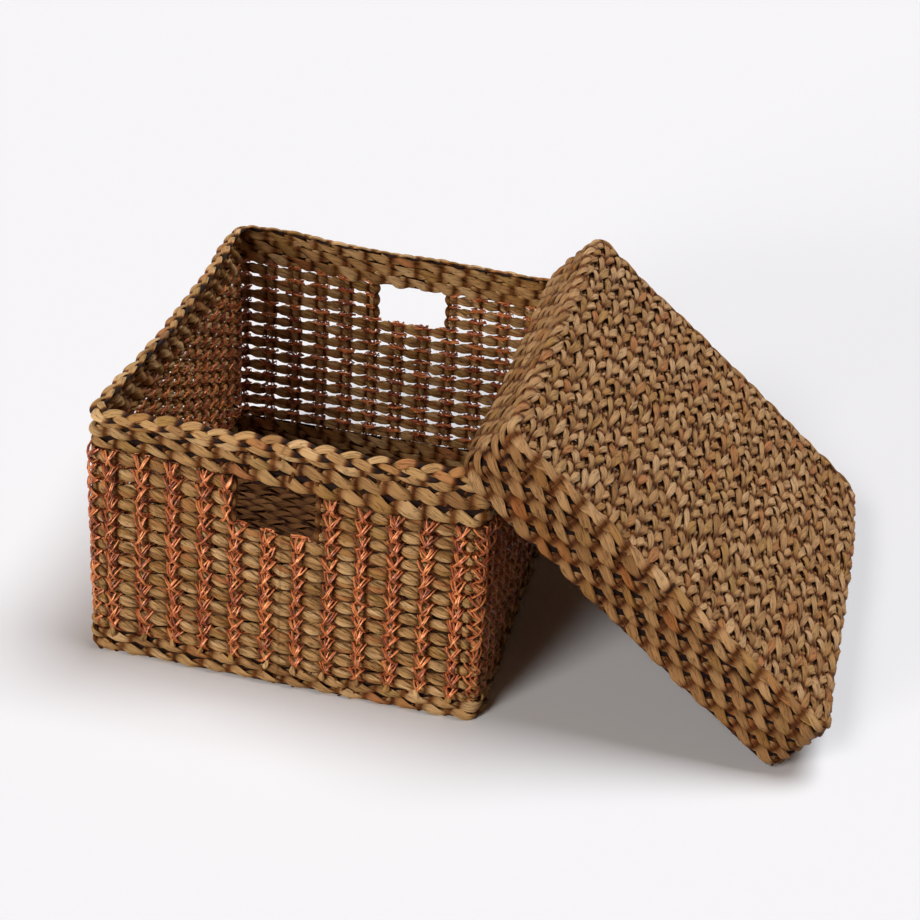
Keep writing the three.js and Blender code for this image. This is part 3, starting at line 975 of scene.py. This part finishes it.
def add_shoulder(weave, half):
    """The row that goes all round the edge of the lid's top, tilted halfway to the skirt."""
    x, y = half - SHOULDER_INSET
    loop = Loop(x, y, LID_CORNER_RADIUS - SHOULDER_INSET)
    track = loop_track(loop, LID_TOP_HIGH[2] - SHOULDER_INSET)
    out = track.out * math.cos(SHOULDER_TILT) + track.across * math.sin(SHOULDER_TILT)
    across = track.across * math.cos(SHOULDER_TILT) - track.out * math.sin(SHOULDER_TILT)
    wind(weave, Track(on_lid(track.points), on_lid(out, True), on_lid(across, True), True), SHOULDER_LAY)


def make_lid_top():
    """The lid's top: its rows, the cords that cross under them, and the row round its edge."""
    half = (LID_TOP_HIGH - LID_TOP_LOW)[:2] / 2
    inner = half - LID_BORDER
    halves = [Weave("lid_top_rows_left"), Weave("lid_top_rows_right")]
    crossing = Weave("lid_top_cross_cords")
    add_top_rows(halves, half, inner)
    add_cross_cords(crossing, half, inner)
    add_shoulder(halves[1], half)
    for weave in halves + [crossing]:
        weave.build(lid_rush, "lid", "lid_weave", ["lid_top_mat"])


def linear(code):
    """An sRGB hex code as a linear colour with alpha."""
    parts = [int(code[place:place + 2], 16) / 255 for place in (1, 3, 5)]
    return [part / 12.92 if part <= 0.04045 else ((part + 0.055) / 1.055) ** 2.4 for part in parts] + [1.0]


def add_node(tree, kind, settings=None, inputs=None):
    """Adds a node, sets its properties, and gives each named input a value or a link."""
    made = tree.nodes.new("ShaderNode" + kind)
    for name, value in (settings or {}).items():
        setattr(made, name, value)
    for name, value in (inputs or {}).items():
        if isinstance(value, bpy.types.NodeSocket):
            tree.links.new(value, made.inputs[name])
        else:
            made.inputs[name].default_value = value
    return made


def add_ramp(tree, source, stops):
    """A colour ramp from (place, hex code) pairs."""
    ramp = add_node(tree, "ValToRGB", inputs={"Fac": source})
    elements = ramp.color_ramp.elements
    for element, (place, code) in ((elements[0], stops[0]), (elements[1], stops[-1])):
        element.position = place
        element.color = linear(code)
    for place, code in stops[1:-1]:
        elements.new(place).color = linear(code)
    return ramp.outputs["Color"]


def stretched_noise(tree, grain, length, width, detail):
    """Noise drawn out along the strand, in metres along it and across it."""
    scaled = add_node(tree, "VectorMath", {"operation": "MULTIPLY"},
                      {0: grain, 1: (1 / length, 1 / width, 1 / width)})
    noise = add_node(tree, "TexNoise", {"noise_dimensions": "3D"},
                     {"Vector": scaled.outputs["Vector"], "Scale": 1.0, "Detail": detail, "Roughness": 0.6})
    return noise.outputs["Fac"]


# Dried rush. The fibres of a leaf are about 0.2 mm wide, too fine to show, so they are drawn 0.7 mm wide;
# the folds that it gets when it is twisted are 2 to 3 mm apart and run for 20 to 30 mm.
FIBRE_LENGTH = 14 * MM
FIBRE_WIDTH = 0.7 * MM
FIBRE_HEIGHT = 0.5 * MM
FOLD_LENGTH = 26 * MM
FOLD_WIDTH = 2.6 * MM
FOLD_DEPTH = 1.2 * MM
# How dark and how light the fibres streak a leaf, how wide its creases are and how dark the painted shade in
# them is, and how strongly both stand out
STREAK_SHADES = (0.78, 1.14)
CREASE_WIDTH = 0.03
CREASE_PAINTED_SHADE = 0.5
FIBRE_STRENGTH = 0.7
FOLD_STRENGTH = 0.8
# Painted shade on a leaf, redder and darker where it tucks under the next one and none where it lies
# outermost
TUCK_PAINTED_SHADE = [(0.1, "#2A1A0F"), (0.5, "#96724E"), (0.9, "#FFFFFF")]
# Dull, with only a little gloss left of the leaf's waxy skin
RUSH_ROUGHNESS = 0.6
BASE_ROUGHNESS = 0.7
RUSH_GLOSS = 0.12
# Leaves from straw to brown: the box and the lid's top are alike, the lid's edge is the same rush made a
# little darker with painted shade, and the base is the same rush made dark brown with painted shade
RUSH_COLOURS = ["#8E673F", "#BF9765", "#AC8455", "#D2AE7F", "#A27E48", "#AC7449"]
LID_COLOURS = ["#91693F", "#BD9568", "#AF865A", "#CBA67C", "#A8824E", "#AC744A"]
SKIRT_COLOURS_WITH_PAINTED_SHADE = ["#7E5933", "#A67D52", "#977046", "#B48E63", "#906A3B", "#9C6236"]
BASE_COLOURS_WITH_PAINTED_SHADE = ["#4C2E15", "#704A28", "#5F3E20", "#7B5431"]


def cord_material(name, colours, roughness):
    """Dried rush, twisted by hand: dull leaves that differ in colour, with fine fibres and folds along them,
    painted shade in their creases, and a redder, darker painted shade where they tuck under each other."""
    material = bpy.data.materials.new(name)
    material.use_nodes = True
    tree = material.node_tree
    shader = tree.nodes["Principled BSDF"]
    grain = add_node(tree, "Attribute", {"attribute_name": "grain"}).outputs["Vector"]
    tint = add_node(tree, "Attribute", {"attribute_name": "tint"}).outputs["Fac"]
    shown = add_node(tree, "Attribute", {"attribute_name": "shown"}).outputs["Fac"]
    leaf = add_ramp(tree, tint, [(place / (len(colours) - 1), code) for place, code in enumerate(colours)])
    fibre = stretched_noise(tree, grain, FIBRE_LENGTH, FIBRE_WIDTH, 3.0)
    fold = stretched_noise(tree, grain, FOLD_LENGTH, FOLD_WIDTH, 1.0)
    streak = add_node(tree, "MapRange", None, {"Value": fibre, "From Min": 0.3, "From Max": 0.7,
                                               "To Min": STREAK_SHADES[0], "To Max": STREAK_SHADES[1]})
    # The creases of the folds get painted shade; the fibre streaks are the leaf's own tone
    from_fold = add_node(tree, "Math", {"operation": "SUBTRACT"}, {0: fold, 1: 0.5})
    off_fold = add_node(tree, "Math", {"operation": "ABSOLUTE"}, {0: from_fold.outputs["Value"]})
    crease = add_node(tree, "MapRange", None, {"Value": off_fold.outputs["Value"], "From Min": 0.0,
                                               "From Max": CREASE_WIDTH, "To Min": CREASE_PAINTED_SHADE,
                                               "To Max": 1.0})
    dark = add_node(tree, "Math", {"operation": "MULTIPLY"},
                    {0: streak.outputs["Result"], 1: crease.outputs["Result"]})
    outer = add_node(tree, "MapRange", None, {"Value": shown, "From Min": -1.0, "From Max": 1.0,
                                              "To Min": 0.0, "To Max": 1.0})
    # Painted shade where a leaf tucks under the next one
    painted_tuck_shade = add_ramp(tree, outer.outputs["Result"], TUCK_PAINTED_SHADE)
    shaded = add_node(tree, "VectorMath", {"operation": "MULTIPLY"}, {0: leaf, 1: painted_tuck_shade})
    colour = add_node(tree, "VectorMath", {"operation": "SCALE"},
                      {0: shaded.outputs["Vector"], "Scale": dark.outputs["Value"]})
    folds = add_node(tree, "Bump", None, {"Strength": FOLD_STRENGTH, "Distance": FOLD_DEPTH,
                                          "Height": crease.outputs["Result"]})
    fibres = add_node(tree, "Bump", None, {"Strength": FIBRE_STRENGTH, "Distance": FIBRE_HEIGHT,
                                           "Height": fibre, "Normal": folds.outputs["Normal"]})
    tree.links.new(colour.outputs["Vector"], shader.inputs["Base Color"])
    tree.links.new(fibres.outputs["Normal"], shader.inputs["Normal"])
    shader.inputs["Roughness"].default_value = roughness
    shader.inputs["Specular IOR Level"].default_value = RUSH_GLOSS
    return material


# Copper-coloured thread. Its filaments are finer than 0.1 mm, too fine to show, so they are drawn 0.8 mm
# wide. Its colour runs from painted shade between them to painted highlights where they catch the light.
FILAMENT_LENGTH = 4 * MM
FILAMENT_WIDTH = 0.8 * MM
COPPER_COLOURS_AND_PAINTED_LIGHT = [(0.42, "#4A1B0A"), (0.75, "#A54E24"), (1.0, "#D8894E")]
COPPER_UNEVENNESS = 0.6
COPPER_ROUGHNESS = 0.38
COPPER_METALLIC = 0.2


def thread_material():
    """Copper-coloured lashing thread: twisted filament with a soft metallic sheen, uneven in colour, with
    painted shade and painted highlights along it.
    """
    material = bpy.data.materials.new("copper_coloured_thread")
    material.use_nodes = True
    tree = material.node_tree
    shader = tree.nodes["Principled BSDF"]
    grain = add_node(tree, "Attribute", {"attribute_name": "grain"}).outputs["Vector"]
    tint = add_node(tree, "Attribute", {"attribute_name": "tint"}).outputs["Fac"]
    fibre = stretched_noise(tree, grain, FILAMENT_LENGTH, FILAMENT_WIDTH, 2.0)
    mixed = add_node(tree, "Math", {"operation": "MULTIPLY_ADD"}, {0: tint, 1: COPPER_UNEVENNESS, 2: fibre})
    # Copper tone with painted shade and painted highlights
    tree.links.new(add_ramp(tree, mixed.outputs["Value"], COPPER_COLOURS_AND_PAINTED_LIGHT), shader.inputs["Base Color"])
    shader.inputs["Roughness"].default_value = COPPER_ROUGHNESS
    shader.inputs["Metallic"].default_value = COPPER_METALLIC
    return material


rush = cord_material("dried_rush_cord", RUSH_COLOURS, RUSH_ROUGHNESS)
lid_rush = cord_material("lid_rush_cord", LID_COLOURS, RUSH_ROUGHNESS)
# The lid's edge: the lid's rush made a little darker with painted shade
skirt_rush_with_painted_shade = cord_material("skirt_rush_cord_painted_shade", SKIRT_COLOURS_WITH_PAINTED_SHADE, RUSH_ROUGHNESS)
# The base: the rush made dark brown with painted shade
base_rush_with_painted_shade = cord_material("base_rush_cord_painted_shade", BASE_COLOURS_WITH_PAINTED_SHADE, BASE_ROUGHNESS)
copper_thread = thread_material()

# The floor reaches so far that its edge lies at the horizon in a low view
FLOOR_HALF_WIDTH = 40.0
# What the floor and the surround throw on the object, and what the eye sees of them
FLOOR_COLOURS = ("#A8A49E", "#F0F6FF")
SURROUND_COLOURS = ("#503929", "#F6F5F7")
# Each light's name, the way it falls, its strength, its softness in degrees, and its colour
SUNS = [
    ("overhead", (-0.27, -0.2, -1.0), 2.35, 34, "#FFFDFA"),
    ("front_high", (0.42, 0.85, -0.8), 0.9, 18, "#FFF6EC"),
    ("front_low", (0.45, 0.8, -0.14), 1.9, 20, "#FFF6EC"),
]


def add_sun(name, toward, energy, angle, code):
    """A soft light from far away."""
    sun = bpy.data.lights.new(name, "SUN")
    sun.energy = energy
    sun.angle = math.radians(angle)
    sun.color = linear(code)[:3]
    lamp = bpy.data.objects.new(name, sun)
    lamp.rotation_euler = Vector(toward).to_track_quat("-Z", "Y").to_euler()
    bpy.context.scene.collection.objects.link(lamp)


def surround_colour(tree, lighting, seen):
    """One colour for what the surround throws on the object, and another where the eye or a reflection
    meets the surround."""
    path = add_node(tree, "LightPath").outputs
    eye = add_node(tree, "Math", {"operation": "MAXIMUM"},
                   {0: path["Is Camera Ray"], 1: path["Is Glossy Ray"]})
    either = add_node(tree, "Math", {"operation": "MAXIMUM"},
                      {0: eye.outputs["Value"], 1: path["Is Transmission Ray"]})
    mixed = add_node(tree, "Mix", {"data_type": "RGBA"},
                     {0: either.outputs["Value"], 6: linear(lighting), 7: linear(seen)})
    return mixed.outputs[2]


def floor_and_light():
    """A pale floor and a pale surround, one soft light from above and two from the front left."""
    half = FLOOR_HALF_WIDTH
    mesh = bpy.data.meshes.new("floor")
    corners = [(-half, -half, 0), (half, -half, 0), (half, half, 0), (-half, half, 0)]
    mesh.from_pydata(corners, [], [(0, 1, 2, 3)])
    floor = bpy.data.objects.new("floor", mesh)
    bpy.context.scene.collection.objects.link(floor)
    material = bpy.data.materials.new("pale_studio_floor")
    material.use_nodes = True
    tree = material.node_tree
    shader = tree.nodes["Principled BSDF"]
    tree.links.new(surround_colour(tree, *FLOOR_COLOURS), shader.inputs["Base Color"])
    shader.inputs["Roughness"].default_value = 0.9
    shader.inputs["Specular IOR Level"].default_value = 0.1
    mesh.materials.append(material)
    world = bpy.data.worlds.new("studio")
    world.use_nodes = True
    backdrop = world.node_tree.nodes["Background"].inputs["Color"]
    world.node_tree.links.new(surround_colour(world.node_tree, *SURROUND_COLOURS), backdrop)
    bpy.context.scene.world = world
    for sun in SUNS:
        add_sun(*sun)


# The photograph's own view, fitted to the outlines of the box and the lid: angles in radians round the
# object, above the floor and about the line of sight, the distance, and the point that it looks at
VIEW_AZIMUTH = 0.2009
VIEW_ELEVATION = 0.5155
VIEW_ROLL = 0.0578
VIEW_DISTANCE = 1.9295
VIEW_TARGET = Vector((0.1079, 0.0, 0.1318))


def camera():
    """The photograph's own view: long lens, from the front, a little to the right and above."""
    level = math.cos(VIEW_ELEVATION)
    back = Vector((math.sin(VIEW_AZIMUTH) * level, -math.cos(VIEW_AZIMUTH) * level, math.sin(VIEW_ELEVATION)))
    level_right = (-back).cross(Vector((0, 0, 1))).normalized()
    level_up = level_right.cross(-back)
    right = math.cos(VIEW_ROLL) * level_right + math.sin(VIEW_ROLL) * level_up
    up = -math.sin(VIEW_ROLL) * level_right + math.cos(VIEW_ROLL) * level_up
    lens = bpy.data.cameras.new("camera")
    lens.sensor_width = 36
    lens.lens = 80.4
    view = bpy.data.objects.new("camera", lens)
    turn = Matrix((right, up, back)).transposed().to_4x4()
    view.matrix_world = Matrix.Translation(VIEW_TARGET + back * VIEW_DISTANCE) @ turn
    bpy.context.scene.collection.objects.link(view)
    bpy.context.scene.camera = view


make_base()
make_band(FOOT_NODES, FOOT_NODES[-1])
make_wall()
make_band(RIM_NODES, None)
make_plait()
make_lashings()
make_skirt()
make_lid_top()
floor_and_light()
camera()
bpy.context.scene.view_settings.view_transform = "Standard"
